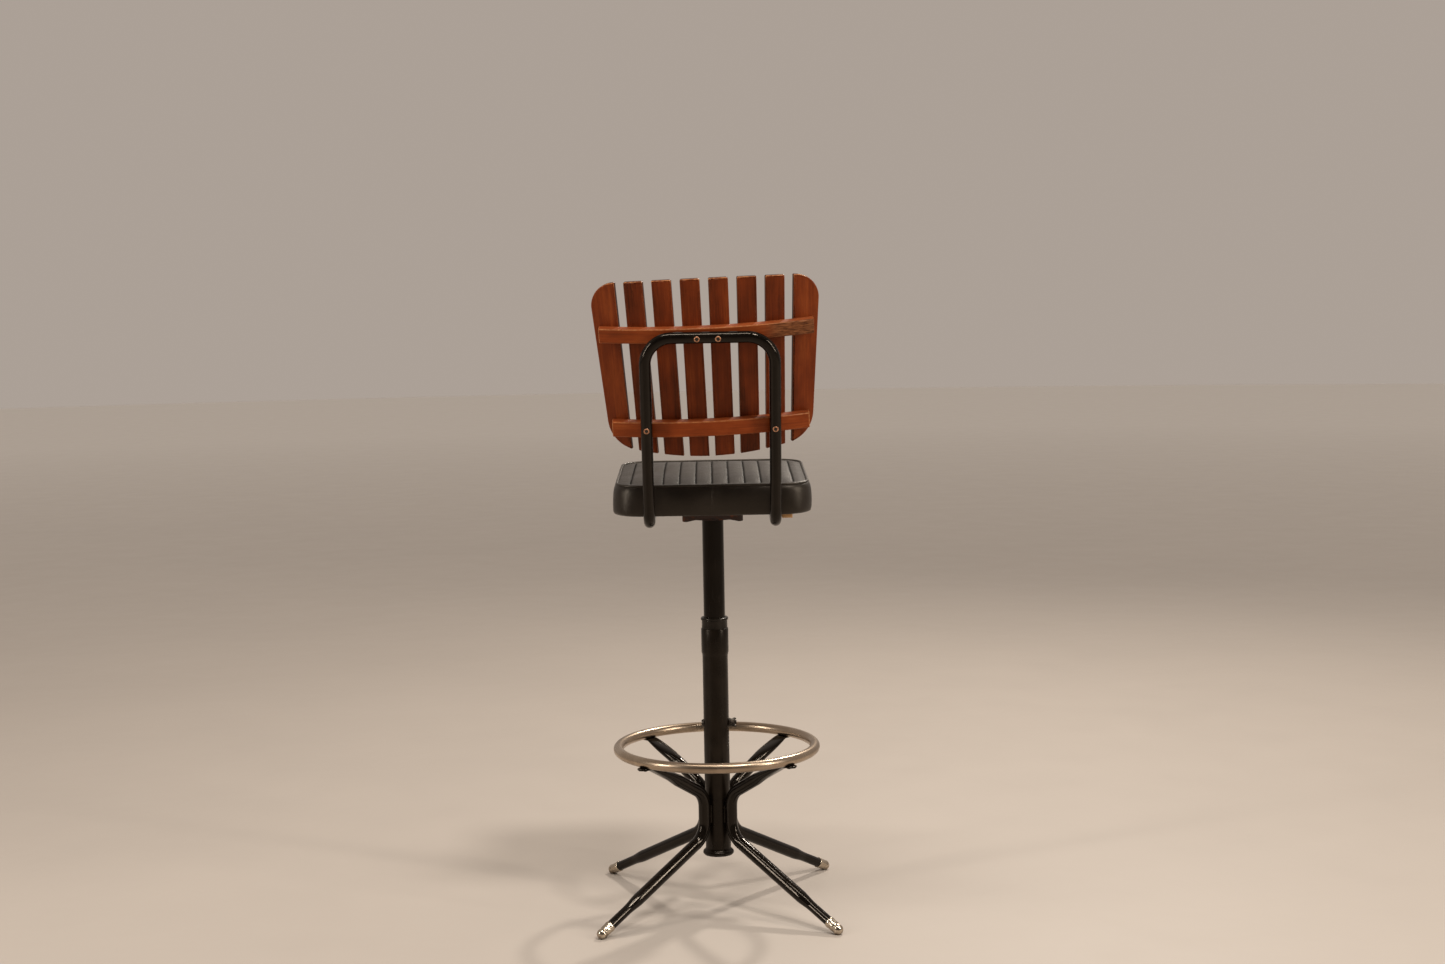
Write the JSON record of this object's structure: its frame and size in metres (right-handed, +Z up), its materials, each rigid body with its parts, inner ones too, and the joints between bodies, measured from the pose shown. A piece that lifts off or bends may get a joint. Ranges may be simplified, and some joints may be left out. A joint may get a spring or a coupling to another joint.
{
  "type": "drafting chair",
  "caption": "Swivel drafting stool with a foot ring on four bent legs, sliding post, channelled cushion and slatted curved backrest.",
  "frame": {"origin": "on the floor, on the column's axis, in the plane of the four feet", "axes": "+Z up along the column, the sitter faces -Y, the backrest is at +Y, +X to the sitter's left"},
  "size_m": [0.4542, 0.5393, 1.2122],
  "materials": {
    "black_paint": "gloss black enamel",
    "black_plastic": "satin moulded plastic",
    "bright_cap": "bright, lightly worn",
    "satin_ring": "satin, warm tone, worn",
    "zinc_steel": "dull zinc",
    "pressed_plate": "dark brown-black, matt",
    "copper_fitting": "dull copper colour",
    "plywood": "bare plywood",
    "foam": "open-cell foam",
    "black_vinyl": "satin upholstery vinyl, fine grain",
    "bare_wood": "bare softwood",
    "stained_wood": "red-brown stain under worn satin varnish"
  },
  "bodies": {
    "base": {"column_tube": "black_paint", "column_plug": "black_plastic", "top_bushing": "black_plastic", "lock_bolt": "zinc_steel", "leg_1": "black_paint", "leg_2": "black_paint", "leg_3": "black_paint", "leg_4": "black_paint", "leg_welds": "black_paint", "foot_cap_1": "bright_cap", "foot_cap_2": "bright_cap", "foot_cap_3": "bright_cap", "foot_cap_4": "bright_cap", "foot_ring": "satin_ring", "ring_screws": "zinc_steel"},
    "lock_washer": {"lock_washer": "zinc_steel"},
    "wing_nut": {"wing_nut": "zinc_steel"},
    "post": {"post_tube": "black_paint", "post_guide": "black_plastic", "swivel_lower_plate": "pressed_plate", "swivel_balls": "zinc_steel", "ball_cage": "copper_fitting"},
    "seat": {"swivel_upper_plate": "pressed_plate", "king_bolt": "zinc_steel", "king_nut": "zinc_steel", "tilt_wedge": "pressed_plate", "seat_pan": "pressed_plate", "pan_bolts": "zinc_steel", "tee_nuts": "zinc_steel", "seat_board": "plywood", "seat_foam": "foam", "seat_cover": "black_vinyl", "seat_welt": "black_vinyl", "seat_cleat": "bare_wood", "back_frame": "black_paint", "frame_plugs": "black_plastic", "frame_screws": "zinc_steel", "back_screws": "zinc_steel", "cup_washers": "copper_fitting", "batten_upper": "stained_wood", "batten_lower": "stained_wood", "slat_nails": "copper_fitting", "slat_1": "stained_wood", "slat_2": "stained_wood", "slat_3": "stained_wood", "slat_4": "stained_wood", "slat_5": "stained_wood", "slat_6": "stained_wood", "slat_7": "stained_wood", "slat_8": "stained_wood"}
  },
  "joints": [
    {"name": "height_slide", "type": "slide", "parent": "base", "child": "post", "axis": [0, 0, 1], "range_m": [-0.15, 0.025]},
    {"name": "seat_swivel", "type": "hinge", "parent": "post", "child": "seat", "pos_m": [0, 0, 0.76], "axis": [0, 0, 1], "continuous": true},
    {"name": "washer_travel", "type": "slide", "parent": "base", "child": "lock_washer", "axis": [-1, 0, 0], "range_m": [0, 0.0026]},
    {"name": "wing_nut_turn", "type": "hinge", "parent": "lock_washer", "child": "wing_nut", "pos_m": [-0.03, 0, 0.355], "axis": [-1, 0, 0], "range_deg": [0, 720]}
  ],
  "couplings": [
    {"joint": "washer_travel", "follows": "wing_nut_turn", "m_per_rad": 0.00019894}
  ]
}
